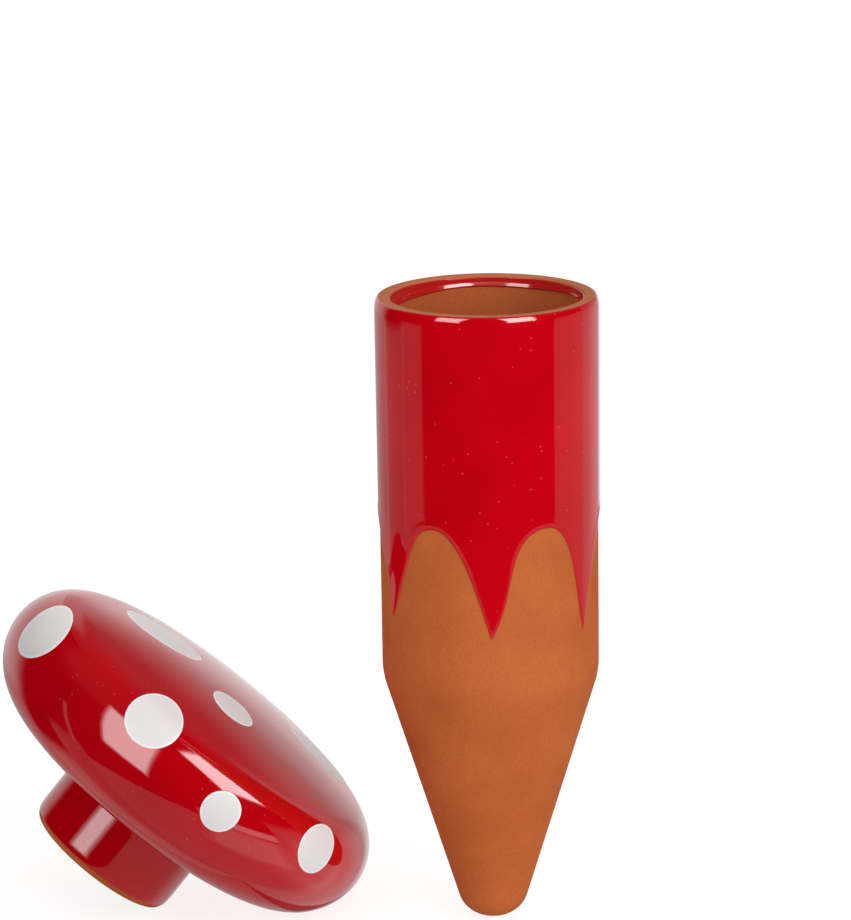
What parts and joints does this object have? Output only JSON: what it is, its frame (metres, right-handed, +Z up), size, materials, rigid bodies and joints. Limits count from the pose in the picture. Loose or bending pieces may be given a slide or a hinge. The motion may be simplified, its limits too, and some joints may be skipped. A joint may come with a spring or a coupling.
{
  "type": "self watering spike",
  "caption": "Hollow glazed terracotta watering spike with a conical bare tip, and its dotted mushroom cap lying beside it, whose hollow plug goes into the mouth.",
  "frame": {"origin": "the tip of the spike, where its axis meets the ground", "axes": "+Z up along the spike's axis, out of its mouth; -Y towards the viewer; the cap lies on the -X side"},
  "size_m": [0.1187, 0.086, 0.1254],
  "materials": {
    "terracotta": "unglazed, fine matte grain",
    "red_glaze": "glossy, with tiny pinholes",
    "white_glaze": "glossy"
  },
  "bodies": {
    "spike": {"spike_body": "terracotta", "spike_glaze": "red_glaze", "mouth_glaze": "red_glaze"},
    "cap": {"cap_body": "terracotta", "cap_glaze": "red_glaze", "dot_1": "white_glaze", "dot_2": "white_glaze", "dot_3": "white_glaze", "dot_4": "white_glaze", "dot_5": "white_glaze", "dot_6": "white_glaze", "dot_7": "white_glaze", "dot_8": "white_glaze", "dot_9": "white_glaze", "dot_10": "white_glaze", "dot_11": "white_glaze", "dot_12": "white_glaze"}
  },
  "joints": [
    {"name": "cap_lift", "type": "slide", "parent": "spike", "child": "cap", "axis": [0, 0, 1], "range_m": [0, 0.15]}
  ]
}
